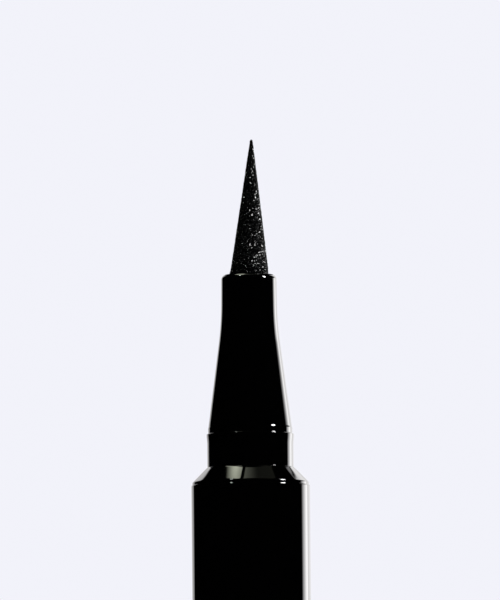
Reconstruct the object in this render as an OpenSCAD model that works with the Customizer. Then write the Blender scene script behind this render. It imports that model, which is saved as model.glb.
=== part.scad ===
// Liquid eyeliner pen, open and ready for use, with its cap pushed on the tail end.
// It stands on the closed end of the cap, nib up. The origin is the centre of that end, and +Z points to
// the nib. Millimetres.

/* [Barrel] */
// Outside diameter of the barrel and of the cap
barrel_d = 10.5; // [10:0.1:12]
// Length of the barrel tube
barrel_len = 88; // [70:1:110]
// Wall of the barrel round its wider front bore
mouth_wall = 0.9; // [0.75:0.05:1.1]
// Height of the step in the bore, from the front bore in to the ink tank
tank_step = 0.25; // [0.2:0.05:0.4]
// Radius of the round on both ends of the barrel
edge_r = 0.6; // [0.3:0.05:0.8]

/* [Cap seat] */
// How far the seat lies in from the barrel's surface
shoulder_step = 1.43; // [1.3:0.01:1.5]
// Length of the seat, between the shoulder and the snap bead
seat_len = 2.39; // [1.8:0.01:3.2]
// Height of the snap bead above the seat
bead_rise = 0.05; // [0.03:0.01:0.07]
// Length of the snap bead
bead_len = 0.6; // [0.5:0.02:0.9]
// Slope of the shoulder, measured from the pen's axis
shoulder_angle = 45.5; // [38:0.5:52]
// Radius of the round on the shoulder's outer edge
shoulder_edge_r = 0.2; // [0.1:0.05:0.3]

/* [Front section] */
// How far the short land above the snap bead lies in from the seat
land_step = 0.085; // [0.02:0.005:0.2]
// Length of the land
land_len = 0.52; // [0.3:0.02:0.8]
// How far the foot of the cone lies in from the land
cone_step = 0.035; // [0.01:0.005:0.1]
// Length of the cone, up to where it meets the neck
cone_len = 9.25; // [8:0.05:11]
// Wall of the neck's rim round the nib
neck_wall = 0.775; // [0.7:0.025:1]
// Length of the neck, from the cone to the rim
neck_len = 4.36; // [3.8:0.02:6]
// Draft of the neck, as the growth of its diameter towards the cone
neck_draft = 0.08; // [0:0.01:0.16]
// Length of the smooth bend between cone and neck
blend_len = 3.5; // [2:0.1:5]
// Radius of the round on the neck's rim
rim_r = 0.46; // [0.3:0.01:0.6]
// Length of the section's tail inside the barrel
spigot_len = 7; // [5:0.5:10]
// Wall of the section's tail
spigot_wall = 0.8; // [0.6:0.05:1]

/* [Nib] */
// Diameter of the nib at the neck's rim
nib_d = 3.35; // [3.2:0.01:3.5]
// Length of the nib that shows
nib_len = 12.02; // [9:0.02:14]
// Radius of the rounded point
nib_tip_r = 0.14; // [0.08:0.01:0.3]
// How far the nib's shank lies in from the foot of its cone
shank_step = 0.175; // [0.1:0.025:0.3]
// Length of the shank
shank_len = 8.8; // [7:0.1:9.5]
// Depth of the hole for the feed rod in the shank's end
socket_len = 5; // [3:0.1:6]

/* [Feed and collector] */
// Diameter of the fibre feed rod
rod_d = 1.96; // [1.7:0.02:2]
// Number of fins on the collector
fin_count = 26; // [18:1:32]
// Distance from fin to fin
fin_pitch = 0.8; // [0.7:0.02:0.9]
// Thickness of a fin
fin_t = 0.36; // [0.3:0.02:0.45]
// Diameter of the collector's core between the fins
core_d = 4.1; // [3.8:0.1:4.6]
// How far the collector's front tube stands out past the nib's hole
tube_step = 0.45; // [0.3:0.05:0.5]
// Width of the ink slot along the collector
ink_slot_w = 0.22; // [0.16:0.02:0.3]
// Width of the air channel along the collector
air_slot_w = 1.1; // [0.8:0.1:1.4]
// Length of the stopper that closes the tank
stopper_len = 3; // [2:0.1:5]
// Wall of the stopper, round the collector's tail
stopper_wall = 1.31; // [0.9:0.01:1.6]

/* [Tank] */
// Diameter of the mixing ball
ball_d = 4; // [3:0.1:5]

/* [Tail plug] */
// Length of the plug inside the barrel
plug_len = 7; // [6:0.5:10]
// Gap from the spigot's end to the step in the posted cap's bore
lead_gap = 1.1; // [0.5:0.1:2]
// Depth of the dish in which the ball comes to rest
dish_depth = 0.6; // [0.3:0.05:1]
// Thickness of the rubber ring
ring_t = 0.9; // [0.7:0.05:1.1]

/* [Cap] */
// Thickness of the closed end
end_wall = 1.5; // [1.2:0.1:2.5]
// Radius of the round on the closed end
end_r = 0.8; // [0.4:0.1:1.2]
// Height of the ring that holds the inner cap in, above the guide bore
catch_rise = 0.2; // [0.14:0.02:0.24]
// Length of that ring
catch_len = 0.6; // [0.4:0.05:0.8]

/* [Inner cap] */
// Where the lip meets the cone, as a share of the way from the neck out to the cone's foot
lip_share = 0.335; // [0.3:0.005:0.4]
// Height of the lip that seals on the cone, above the cup's inside
lip_rise = 0.15; // [0.1:0.01:0.25]
// Wall of the cup
cup_wall = 0.45; // [0.35:0.05:0.5]
// How far the cone pushes the inner cap in when the cap is closed
seal_travel = 0.8; // [0.4:0.1:1.2]
// Room past the point of the nib when the cap is closed
nib_room = 1.04; // [0.6:0.02:3]
// Thickness of the cup's closed end
cup_end = 0.8; // [0.6:0.1:1.2]
// Length of the guide flanges
flange_len = 1; // [0.7:0.1:1.5]
// Height of the guide flanges above the cup's wall
flange_rise = 0.22; // [0.16:0.02:0.3]

/* [Cap spring] */
// Length of the spring as fitted
spring_len = 8.55; // [7:0.05:14]
// Outside diameter of the spring
spring_d = 5.2; // [4.8:0.1:6]
// Diameter of its wire
wire_d = 0.45; // [0.35:0.05:0.5]
// Number of curls
curls = 5; // [4:1:6]

/* [Hidden] */
$fn = 96;

// Clearances
press_gap = 0.02;
cap_gap = 0.09;
slide_gap = 0.08;
rim_gap = 0.04;
seam_gap = 0.25;
seat_gap = 0.2;
catch_gap = 0.05;
over = 0.5;

// Radii that several pieces share
barrel_r = barrel_d / 2;
mouth_r = barrel_r - mouth_wall;
tank_r = mouth_r - tank_step;
seat_r = barrel_r - shoulder_step;
land_r = seat_r - land_step;
cone_r = land_r - cone_step;
nib_r = nib_d / 2;
neck_r = nib_r + neck_wall;
neck_foot_r = neck_r + neck_draft / 2;
shank_r = nib_r - shank_step;
rod_r = rod_d / 2;
rod_hole_r = rod_r + press_gap;
bore_r = seat_r + cap_gap;
lip_r = neck_foot_r + lip_share * (cone_r - neck_foot_r);
cup_r = lip_r + lip_rise;
cup_out_r = cup_r + cup_wall;
flange_r = cup_out_r + flange_rise;
guide_r = flange_r + slide_gap;
edge_angle = 32;
edge_h = edge_r * sin(edge_angle);
edge_top_r = barrel_r - edge_r * (1 - cos(edge_angle));
reveal = 0.03;
reveal_h = 0.04;
shoulder_r = edge_top_r - reveal;
shoulder_edge = [shoulder_r - shoulder_edge_r, reveal_h];
shoulder_top_r = shoulder_edge[0] + shoulder_edge_r * cos(shoulder_angle);
shoulder_h = shoulder_edge_r * sin(shoulder_angle) + (shoulder_top_r - seat_r) / tan(shoulder_angle);
seat_total = reveal_h + shoulder_h + seat_len + bead_len;
cone_angle = atan((cone_r - neck_foot_r) / cone_len);
neck_angle = atan((neck_foot_r - neck_r) / neck_len);

// Lengths inside the cap, from where the cone meets the inner cap's lip when the cap is closed
lip_seat_h = seat_total + land_len + (cone_r - lip_r) / tan(cone_angle);
tip_h = seat_total + land_len + cone_len + neck_len + nib_len;
cup_len = tip_h - lip_seat_h + nib_room;
catch_total = catch_gap + catch_rise + catch_len;
mouth_len = lip_seat_h - seam_gap - seal_travel - catch_total;
cap_len = end_wall + spring_len + cup_end + cup_len + catch_total + mouth_len;
lead_len = mouth_len + seam_gap - seat_total - lead_gap;

// Heights from the closed end of the cap up
rib_drop = 0.25;
barrel_z = cap_len + seam_gap;
section_z = barrel_z + barrel_len;
seat_z = section_z + reveal_h + shoulder_h;
bead_z = seat_z + seat_len;
land_z = bead_z + bead_len;
cone_z = land_z + land_len;
neck_z = cone_z + cone_len;
rim_z = neck_z + neck_len;
shank_z = rim_z - rib_drop - shank_len;
tube_z = shank_z - seat_gap;
spigot_z = section_z - spigot_len;

// The collector hangs from the end of the section's tail and stands on the stopper
flange_t = 0.8;
collar_out = 0.8;
rod_out = 2;
fin_gap = 0.15;
fin_r = mouth_r - fin_gap;
comb_pocket = fin_pitch - fin_t;
comb_z = spigot_z - flange_t;
comb_foot_z = comb_z - fin_count * fin_pitch - comb_pocket;
plate_z = comb_foot_z - flange_t;
stopper_z = plate_z - stopper_len;
collar_z = stopper_z - collar_out;
rod_z = collar_z - rod_out;

// Corners and rounds
chamfer = 0.25;
arc_steps = 10;

// Points of an arc from angle a0 to a1 round a centre
function arc(centre, r, a0, a1, steps = arc_steps) = [
    for (i = [0:steps])
        let (a = a0 + (a1 - a0) * i / steps)
            centre + r * [cos(a), sin(a)]
];

// A shallow ring groove with a rounded floor, as profile points from its lower edge at height z up
function groove_points(r, depth, length, z) = [
    for (i = [0:arc_steps])
        [r + depth * sin(180 * i / arc_steps), z + length * i / arc_steps]
];

module revolve(points) {
    rotate_extrude()
        polygon(points);
}

// Equal copies round the axis
module around(count) {
    for (i = [0:count - 1])
        rotate([0, 0, 360 * i / count])
            children();
}

// Nib: porous cone with a rounded point, a collar that sits on the neck's ribs, and a hollow shank
nib_top = rim_z + nib_len;
nib_slope = atan((nib_r - nib_tip_r) / (nib_len - nib_tip_r));
tip_centre = [0, nib_top - nib_tip_r];
socket_z = shank_z + socket_len;
module nib() {
    color("#121212")
        difference() {
            revolve(concat(
                [[0, shank_z], [shank_r - chamfer, shank_z], [shank_r, shank_z + chamfer]],
                [[shank_r, rim_z - rib_drop], [nib_r, rim_z - rib_drop], [nib_r, rim_z]],
                arc(tip_centre, nib_tip_r, nib_slope, 90)
            ));
            translate([0, 0, shank_z - over])
                cylinder(r = rod_hole_r, h = socket_len + over);
        }
}

// Feed rod: fibre bundle from the tank, through the collector, into the nib's shank
rod_top = socket_z - seat_gap;
module feed_rod() {
    color("#3a3a3c")
        revolve([
            [0, rod_z], [rod_r - chamfer, rod_z], [rod_r, rod_z + chamfer],
            [rod_r, rod_top - chamfer], [rod_r - chamfer, rod_top], [0, rod_top]
        ]);
}

// Outside of the cap seat and shoulder, from the shoulder's edge to the top of the snap bead, which
// swells from the seat and ends in a small step. The section has it pointing up, the tail plug down.
nick_r = 0.06;
bead_r = seat_r + bead_rise;
function seat_points(z) = concat(
    [[shoulder_r, z]],
    arc([shoulder_edge[0], z + shoulder_edge[1]], shoulder_edge_r, 0, shoulder_angle, arc_steps / 2),
    [[seat_r, z + reveal_h + shoulder_h], [seat_r, z + seat_total - bead_len]],
    arc([bead_r - nick_r, z + seat_total - nick_r], nick_r, 0, 90, arc_steps / 2)
);

// Front section: one moulding with neck, cone, land, snap bead, cap seat, shoulder and tail
bend = cone_angle - neck_angle;
bend_r = blend_len / 2 / tan(bend / 2);
bend_start = [neck_foot_r, neck_z] + blend_len / 2 * [sin(cone_angle), -cos(cone_angle)];
bend_centre = bend_start + bend_r * [cos(cone_angle), sin(cone_angle)];
spigot_r = mouth_r - press_gap;
nick_angle = acos(1 - cone_step / nick_r);
hub_share = 0.6;
hub_z = section_z + hub_share * shoulder_h;
rib_h = 0.3;
rib_w = 0.4;
rib_count = 6;
nib_hole_r = shank_r + rib_h;
tube_r = nib_hole_r + tube_step;
tube_hole_r = tube_r + press_gap;
rim_hole_r = nib_r + rim_gap;
module front_section() {
    color("#0b0b0c")
        difference() {
            revolve(concat(
                [[0, spigot_z], [spigot_r - chamfer, spigot_z], [spigot_r, spigot_z + chamfer]],
                [[spigot_r, section_z]],
                seat_points(section_z),
                [[land_r, land_z]],
                arc([land_r - nick_r, cone_z - nick_r], nick_r, 0, nick_angle, arc_steps / 2),
                [[cone_r, cone_z]],
                arc(bend_centre, bend_r, 180 + cone_angle, 180 + neck_angle),
                arc([neck_r - rim_r, rim_z - rim_r], rim_r, 0, 90),
                [[0, rim_z]]
            ));
            translate([0, 0, spigot_z - over])
                cylinder(r = spigot_r - spigot_wall, h = hub_z - spigot_z + over);
            translate([0, 0, spigot_z])
                cylinder(r = tube_hole_r, h = shank_z - spigot_z);
            difference() {
                translate([0, 0, shank_z - over])
                    cylinder(r = nib_hole_r, h = rim_z - shank_z + 2 * over);
                around(rib_count)
                    translate([shank_r + press_gap, -rib_w / 2, shank_z])
                        cube([rib_h + over, rib_w, rim_z - rib_drop - shank_z]);
            }
            translate([0, 0, rim_z - rib_drop])
                cylinder(r = rim_hole_r, h = rib_drop + over);
        }
}

// Collector: front tube with guide ribs, flange under the section's tail, comb of fins, back plate and tail
core_r = core_d / 2;
collar_r = spigot_r - stopper_wall - press_gap;
guide_w = 0.7;
guide_count = 4;
guide_gap = 0.1;
guide_sink = 0.3;
guide_root = tube_r - guide_sink;
guide_out = spigot_r - spigot_wall - guide_gap;
guide_top = hub_z - guide_gap;
air_floor = 0.3;
air_slot_r = core_r + air_floor;
notch_w = 1.2;
module collector() {
    color("#d9dcdc")
        difference() {
            union() {
                revolve(concat(
                    [[0, collar_z], [collar_r - chamfer, collar_z], [collar_r, collar_z + chamfer]],
                    [[collar_r, plate_z], [fin_r, plate_z], [fin_r, plate_z + flange_t]],
                    [
                        for (i = [0:fin_count - 1])
                            let (z = comb_foot_z + i * fin_pitch)
                                each [[core_r, z], [core_r, z + comb_pocket],
                                    [fin_r, z + comb_pocket], [fin_r, z + fin_pitch]]
                    ],
                    [[core_r, comb_z - comb_pocket], [core_r, comb_z], [spigot_r, comb_z]],
                    [[spigot_r, spigot_z], [tube_r, spigot_z], [tube_r, tube_z - chamfer]],
                    [[tube_r - chamfer, tube_z], [0, tube_z]]
                ));
                around(guide_count)
                    translate([guide_root, -guide_w / 2, spigot_z])
                        cube([guide_out - guide_root, guide_w, guide_top - spigot_z]);
            }
            translate([0, 0, collar_z - over])
                cylinder(r = rod_hole_r, h = tube_z - collar_z + 2 * over);
            translate([0, -ink_slot_w / 2, comb_foot_z])
                cube([barrel_r, ink_slot_w, comb_z - comb_foot_z]);
            translate([-barrel_r, -air_slot_w / 2, comb_foot_z])
                cube([barrel_r - air_slot_r, air_slot_w, comb_z - comb_foot_z]);
            translate([-barrel_r, -notch_w / 2, comb_z - comb_pocket / 2])
                cube([barrel_r - air_slot_r, notch_w, flange_t + comb_pocket]);
        }
}

// Tank stopper: ring on the step of the barrel's bore, round the collector's tail
module tank_stopper() {
    color("#ececea")
        difference() {
            revolve([
                [0, stopper_z], [spigot_r - chamfer, stopper_z], [spigot_r, stopper_z + chamfer],
                [spigot_r, plate_z - chamfer], [spigot_r - chamfer, plate_z], [0, plate_z]
            ]);
            translate([0, 0, stopper_z - over])
                cylinder(r = collar_r + press_gap, h = stopper_len + 2 * over);
        }
}

// Barrel: tube with a wider front bore and a small round on both ends
module barrel() {
    color("#0a0a0b")
        difference() {
            revolve(concat(
                [[0, barrel_z]],
                arc([barrel_r - edge_r, barrel_z + edge_h], edge_r, -edge_angle, 0),
                arc([barrel_r - edge_r, section_z - edge_h], edge_r, 0, edge_angle),
                [[0, section_z]]
            ));
            translate([0, 0, barrel_z - over])
                cylinder(r = tank_r, h = barrel_len + 2 * over);
            translate([0, 0, stopper_z])
                cylinder(r = mouth_r, h = section_z - stopper_z + over);
        }
}

// Tail plug: the front's seat turned over, with a lead-in end below and the tank's floor above
plug_r = tank_r - press_gap;
plug_top = barrel_z + plug_len;
ring_z = barrel_z + plug_len / 2;
groove_r = plug_r - ring_t;
dish_rim = 0.3;
root_h = 0.3;
dish_mouth_r = plug_r - chamfer - dish_rim;
dish_r = (dish_mouth_r * dish_mouth_r + dish_depth * dish_depth) / (2 * dish_depth);
lead_top_r = bead_r - nick_r;
lead_in = 0.35;
lead_r = seat_r - lead_in;
tail_end_z = barrel_z - seat_total - lead_len;
hollow_wall = 1.2;
hollow_r = seat_r - hollow_wall;
hollow_h = 1.2;
module tail_plug() {
    color("#0b0b0c")
        difference() {
            union() {
                translate([0, 0, barrel_z])
                    mirror([0, 0, 1])
                        revolve(concat(
                            [[0, 0]],
                            seat_points(0),
                            [[lead_top_r, seat_total], [lead_r, seat_total + lead_len - chamfer]],
                            [[lead_r - chamfer, seat_total + lead_len], [0, seat_total + lead_len]]
                        ));
                revolve([
                    [0, barrel_z - root_h], [plug_r, barrel_z - root_h],
                    [plug_r, ring_z - ring_t / 2 - press_gap], [groove_r, ring_z - ring_t / 2 - press_gap],
                    [groove_r, ring_z + ring_t / 2 + press_gap], [plug_r, ring_z + ring_t / 2 + press_gap],
                    [plug_r, plug_top - chamfer], [plug_r - chamfer, plug_top], [0, plug_top]
                ]);
            }
            translate([0, 0, plug_top + dish_r - dish_depth])
                sphere(r = dish_r);
            translate([0, 0, tail_end_z - over])
                cylinder(r = hollow_r, h = hollow_h + over);
        }
}

// Tail seal: rubber ring in the plug's groove, pressed on the tank's wall
module tail_seal() {
    color("#2b2b2d")
        rotate_extrude()
            translate([tank_r - ring_t / 2 - press_gap / 2, ring_z])
                circle(d = ring_t);
}

// Mixing ball: it rests in the plug's dish
ball_r = ball_d / 2;
ball_z = plug_top - dish_depth + ball_r + catch_gap;
module mixing_ball() {
    color("#b9bcc0")
        translate([0, 0, ball_z])
            sphere(r = ball_r);
}

// Cap shell: closed end down, mouth up, bored in two steps with a ring that holds the inner cap
mouth_rim = 0.1;
mouth_cone_r = edge_top_r - mouth_rim;
mouth_cone_h = (mouth_cone_r - bore_r) / tan(shoulder_angle);
guide_z = cap_len - mouth_len;
catch_z = guide_z - catch_len;
snap_z = cap_len + seam_gap - reveal_h - shoulder_h - seat_len - bead_len / 2;
snap_len = bead_len + 2 * slide_gap;
snap_depth = 0.06;
post_gap = 0.15;
post_r = spring_d / 2 - wire_d - post_gap;
post_h = 1.2;
module cap_shell() {
    color("#0a0a0b")
        difference() {
            revolve(concat(
                [[0, 0]],
                arc([barrel_r - end_r, end_r], end_r, -90, 0),
                arc([barrel_r - edge_r, cap_len - edge_h], edge_r, 0, edge_angle),
                [[0, cap_len]]
            ));
            difference() {
                revolve(concat(
                    [[0, end_wall], [guide_r, end_wall], [guide_r, catch_z - catch_rise]],
                    [[guide_r - catch_rise, catch_z], [guide_r - catch_rise, guide_z - catch_rise]],
                    [[guide_r, guide_z], [bore_r, guide_z]],
                    groove_points(bore_r, snap_depth, snap_len, snap_z - snap_len / 2),
                    [[bore_r, cap_len - mouth_cone_h], [mouth_cone_r, cap_len]],
                    [[mouth_cone_r, cap_len + over], [0, cap_len + over]]
                ));
                translate([0, 0, end_wall - over])
                    cylinder(r = post_r, h = post_h + over);
            }
        }
}

// Inner cap: sliding cup with a lip that seals on the cone, two guide flanges and a peg for the spring
lip_z = catch_z - catch_rise - catch_gap;
lip_len = 0.8;
cup_floor_z = lip_z - cup_len;
cup_z = cup_floor_z - cup_end;
vent_w = 0.9;
vent_count = 3;
vent_floor = 0.06;
vent_r = cup_out_r + vent_floor;
peg_h = 1.2;
module inner_cap() {
    color("#e4e6e6")
        difference() {
            revolve([
                [0, cup_z - peg_h], [post_r, cup_z - peg_h], [post_r, cup_z],
                [flange_r - chamfer, cup_z], [flange_r, cup_z + chamfer],
                [flange_r, cup_z + flange_len], [cup_out_r, cup_z + flange_len + chamfer],
                [cup_out_r, lip_z - flange_len - chamfer], [flange_r, lip_z - flange_len],
                [flange_r, lip_z], [lip_r, lip_z], [lip_r, lip_z - lip_len],
                [cup_r, lip_z - lip_len - (cup_r - lip_r)],
                [cup_r, cup_floor_z + chamfer], [cup_r - chamfer, cup_floor_z], [0, cup_floor_z]
            ]);
            around(vent_count) {
                translate([vent_r, -vent_w / 2, cup_z - over])
                    cube([guide_r, vent_w, flange_len + chamfer + over]);
                translate([vent_r, -vent_w / 2, lip_z - flange_len - chamfer])
                    cube([guide_r, vent_w, flange_len + chamfer + over]);
            }
        }
}

// Cap spring: one unbroken coil of round wire between the closed end and the inner cap
wire_r = wire_d / 2;
coil_r = spring_d / 2 - wire_r;
coil_z = end_wall + wire_r;
coil_rise = cup_z - end_wall - wire_d - catch_gap;
coil_rings = 8 * curls;
wire_sides = 6;
function coil_centre(t) =
    [coil_r * cos(360 * curls * t), coil_r * sin(360 * curls * t), coil_z + coil_rise * t];
function coil_out(t) = [cos(360 * curls * t), sin(360 * curls * t), 0];
coil_slope = atan(coil_rise / (2 * PI * coil_r * curls));
function coil_up(t) = [
    sin(360 * curls * t) * sin(coil_slope), -cos(360 * curls * t) * sin(coil_slope), cos(coil_slope)
];
coil_points = [
    for (i = [0:coil_rings])
        for (j = [0:wire_sides - 1])
            let (t = i / coil_rings, a = 360 * j / wire_sides)
                coil_centre(t) + wire_r * (cos(a) * coil_out(t) + sin(a) * coil_up(t))
];
coil_sides = [
    for (i = [0:coil_rings - 1])
        for (j = [0:wire_sides - 1])
            let (a = i * wire_sides + j, b = i * wire_sides + (j + 1) % wire_sides)
                each [[a, b, b + wire_sides], [a, b + wire_sides, a + wire_sides]]
];
coil_end = coil_rings * wire_sides;
coil_caps = [
    for (j = [1:wire_sides - 2])
        each [[0, j + 1, j], [coil_end, coil_end + j, coil_end + j + 1]]
];
// Least distance between points of neighbouring curls, which stays over 0.4 mm
coil_gap = min([
    for (i = [0:coil_rings - 8])
        for (j = [0:wire_sides - 1])
            for (k = [0:wire_sides - 1])
                norm(coil_points[i * wire_sides + j] - coil_points[(i + 8) * wire_sides + k])
]);
module cap_spring() {
    echo(coil_gap = coil_gap);
    color("#c4c7ca")
        polyhedron(coil_points, concat(coil_sides, coil_caps));
}

nib();
feed_rod();
front_section();
collector();
tank_stopper();
barrel();
mixing_ball();
tail_plug();
tail_seal();
cap_shell();
inner_cap();
cap_spring();
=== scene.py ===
import math

import bpy
from mathutils import Matrix, Vector


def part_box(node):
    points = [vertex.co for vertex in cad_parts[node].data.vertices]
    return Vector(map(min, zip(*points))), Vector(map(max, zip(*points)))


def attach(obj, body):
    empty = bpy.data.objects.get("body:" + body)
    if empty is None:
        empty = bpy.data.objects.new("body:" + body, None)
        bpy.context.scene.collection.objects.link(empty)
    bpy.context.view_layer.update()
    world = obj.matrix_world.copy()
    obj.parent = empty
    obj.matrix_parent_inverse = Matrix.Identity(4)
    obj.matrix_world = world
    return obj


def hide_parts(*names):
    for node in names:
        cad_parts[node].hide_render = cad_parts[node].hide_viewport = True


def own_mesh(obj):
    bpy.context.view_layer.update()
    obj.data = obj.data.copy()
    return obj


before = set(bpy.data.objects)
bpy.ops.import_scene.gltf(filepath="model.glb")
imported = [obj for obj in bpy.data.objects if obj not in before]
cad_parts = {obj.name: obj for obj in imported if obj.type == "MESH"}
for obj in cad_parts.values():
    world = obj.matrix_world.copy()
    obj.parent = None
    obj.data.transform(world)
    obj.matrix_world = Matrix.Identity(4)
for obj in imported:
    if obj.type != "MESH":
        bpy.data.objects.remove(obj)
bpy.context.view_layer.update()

# Camera. The picture is taken from a little below the cap seat, through a long lens that looks up, so
# that no top of a ring shows. The pen leans a little to the left, which is a roll of the camera here.
MM = 0.001
PICTURE_HEIGHT = 600
PICTURE_MIDDLE = (250, 300)
PIXEL = 0.0886 * MM
PARTING_AT = (250.6, 483.2)
CAMERA_DISTANCE = 2.0
CAMERA_LIFT = math.radians(-4)
CAMERA_ROLL = math.radians(-0.48)
SENSOR = 36

camera = bpy.data.objects.new("camera", bpy.data.cameras.new("camera"))
bpy.context.scene.collection.objects.link(camera)
bpy.context.scene.camera = camera
camera.data.sensor_width = SENSOR
camera.data.lens = SENSOR * CAMERA_DISTANCE / (PICTURE_HEIGHT * PIXEL)
camera.data.clip_start = 0.05
camera.data.clip_end = 40

parting = Vector((0, 0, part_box("barrel")[1].z))
back = Vector((0, -math.cos(CAMERA_LIFT), math.sin(CAMERA_LIFT)))
turn = back.to_track_quat("Z", "Y").to_matrix() @ Matrix.Rotation(CAMERA_ROLL, 3, "Z")
picture_right = turn @ Vector((1, 0, 0))
picture_up = turn @ Vector((0, 1, 0))
middle = (
    parting
    + picture_right * (PICTURE_MIDDLE[0] - PARTING_AT[0]) * PIXEL
    + picture_up * (PARTING_AT[1] - PICTURE_MIDDLE[1]) * PIXEL
)
camera.matrix_world = Matrix.Translation(middle + back * CAMERA_DISTANCE) @ turn.to_4x4()

# Black mouldings. Barrel, front section, tail plug and cap are injection-moulded in one glossy black
# plastic. Each is drawn as its outline from the axis out, in millimetres, and turned round the pen's axis.
ROUND_STEPS = 192
BRACE = 0.03
SHARP_ANGLE = math.radians(35)
ON_AXIS = 1e-6
MOULD_RELIEF = 0.8e-6


def span(node):
    """Radius, foot and top of a CAD piece, in millimetres."""
    low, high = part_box(node)
    return high.x / MM, low.z / MM, high.z / MM


def away(point, distance, degrees):
    """The point at that distance from another, in the direction of that angle."""
    angle = math.radians(degrees)
    return point[0] + distance * math.cos(angle), point[1] + distance * math.sin(angle)


def arc(centre, radius, start, end, steps=10):
    """Points of an arc in the outline's plane, with its angles in degrees."""
    return [away(centre, radius, start + (end - start) * i / steps) for i in range(steps + 1)]


def braced(outline):
    """A closed outline with a point close to both ends of each long stretch, which keeps flats flat."""
    points = []
    for (r0, z0), (r1, z1) in zip(outline, outline[1:] + outline[:1]):
        points.append((r0, z0))
        length = math.hypot(r1 - r0, z1 - z0)
        if length > 4 * BRACE:
            share = BRACE / length
            points.append((r0 + share * (r1 - r0), z0 + share * (z1 - z0)))
            points.append((r1 - share * (r1 - r0), z1 - share * (z1 - z0)))
    return points


def turned(name, outline, steps=ROUND_STEPS):
    """A solid of revolution from a closed outline that runs up outside and down inside."""
    points = braced(outline)
    corners = []
    rings = []
    for r, z in points:
        if r < ON_AXIS:
            rings.append([len(corners)] * steps)
            corners.append((0, 0, z * MM))
            continue
        rings.append(range(len(corners), len(corners) + steps))
        for j in range(steps):
            angle = math.tau * j / steps
            corners.append((r * math.cos(angle) * MM, r * math.sin(angle) * MM, z * MM))
    faces = []
    for i in range(len(points)):
        low, high = rings[i], rings[(i + 1) % len(points)]
        for j in range(steps):
            k = (j + 1) % steps
            face = dict.fromkeys((low[j], low[k], high[k], high[j]))
            if len(face) > 2:
                faces.append(tuple(face))
    mesh = bpy.data.meshes.new(name)
    mesh.from_pydata(corners, [], faces)
    mesh.shade_smooth()
    mesh.set_sharp_from_angle(angle=SHARP_ANGLE)
    piece = bpy.data.objects.new(name, mesh)
    bpy.context.scene.collection.objects.link(piece)
    return piece


def node_in(tree, kind, sockets=None, **settings):
    """A new shader or geometry node, with the named inputs set or linked."""
    node = tree.nodes.new(kind)
    for key, value in settings.items():
        setattr(node, key, value)
    for key, value in (sockets or {}).items():
        if isinstance(value, bpy.types.NodeSocket):
            tree.links.new(value, node.inputs[key])
        else:
            node.inputs[key].default_value = value
    return node


def calc(tree, operation, first, second=0.0, third=0.0):
    """A maths node on sockets or numbers, and its result."""
    sockets = {0: first, 1: second, 2: third}
    return node_in(tree, "ShaderNodeMath", sockets, operation=operation).outputs[0]


def window(tree, value, start, end):
    """A mask that rises from 0 to 1 as the value goes from start to end."""
    sockets = {"Value": value, "From Min": start, "From Max": end}
    return node_in(tree, "ShaderNodeMapRange", sockets, interpolation_type="SMOOTHSTEP").outputs[0]


def product(tree, *factors):
    """The product of masks and numbers."""
    result = factors[0]
    for factor in factors[1:]:
        result = calc(tree, "MULTIPLY", result, factor)
    return result


def blend_of(tree, share, first, second):
    """A colour between two others."""
    sockets = {"Factor": share, "A": first, "B": second}
    mix = node_in(tree, "ShaderNodeMix", data_type="RGBA")
    for name, value in sockets.items():
        kind = "VALUE" if name == "Factor" else "RGBA"
        socket = [s for s in mix.inputs if s.name == name and s.type == kind][0]
        if isinstance(value, bpy.types.NodeSocket):
            tree.links.new(value, socket)
        else:
            socket.default_value = value
    return [s for s in mix.outputs if s.type == "RGBA"][0]


def place_in(tree):
    """Where a point lies on its own piece."""
    return node_in(tree, "ShaderNodeTexCoord").outputs["Object"]


def new_surface(name, inputs):
    """A shader group that makes colour, roughness and height from named numbers and colours."""
    group = bpy.data.node_groups.new(name, "ShaderNodeTree")
    for label, value in inputs.items():
        kind = "NodeSocketColor" if isinstance(value, tuple) else "NodeSocketFloat"
        socket = group.interface.new_socket(label, in_out="INPUT", socket_type=kind)
        socket.default_value = value
    group.interface.new_socket("Colour", in_out="OUTPUT", socket_type="NodeSocketColor")
    group.interface.new_socket("Roughness", in_out="OUTPUT", socket_type="NodeSocketFloat")
    group.interface.new_socket("Height", in_out="OUTPUT", socket_type="NodeSocketFloat")
    source = group.nodes.new("NodeGroupInput")
    sink = group.nodes.new("NodeGroupOutput")
    return group, source.outputs, sink.inputs


def new_material(name):
    """A new material, with its node tree and its shader."""
    material = bpy.data.materials.new(name)
    material.use_nodes = True
    return material, material.node_tree, material.node_tree.nodes["Principled BSDF"]


def finish_of(name, group, values, bump, **constants):
    """A material whose colour, roughness and relief come from a group, and the rest from constants."""
    material, tree, shader = new_material(name)
    for key, value in constants.items():
        shader.inputs[key.replace("_", " ")].default_value = value
    surface = node_in(tree, "ShaderNodeGroup", node_tree=group)
    for key, value in values.items():
        surface.inputs[key].default_value = value
    relief = node_in(tree, "ShaderNodeBump", {"Height": surface.outputs["Height"], "Distance": bump})
    tree.links.new(surface.outputs["Colour"], shader.inputs["Base Color"])
    tree.links.new(surface.outputs["Roughness"], shader.inputs["Roughness"])
    tree.links.new(relief.outputs["Normal"], shader.inputs["Normal"])
    return material


def dress(piece, material):
    """Gives a piece one material, by its slots where it is a CAD node."""
    if not piece.material_slots:
        piece.data.materials.append(material)
    for slot in piece.material_slots:
        slot.material = material


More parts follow.
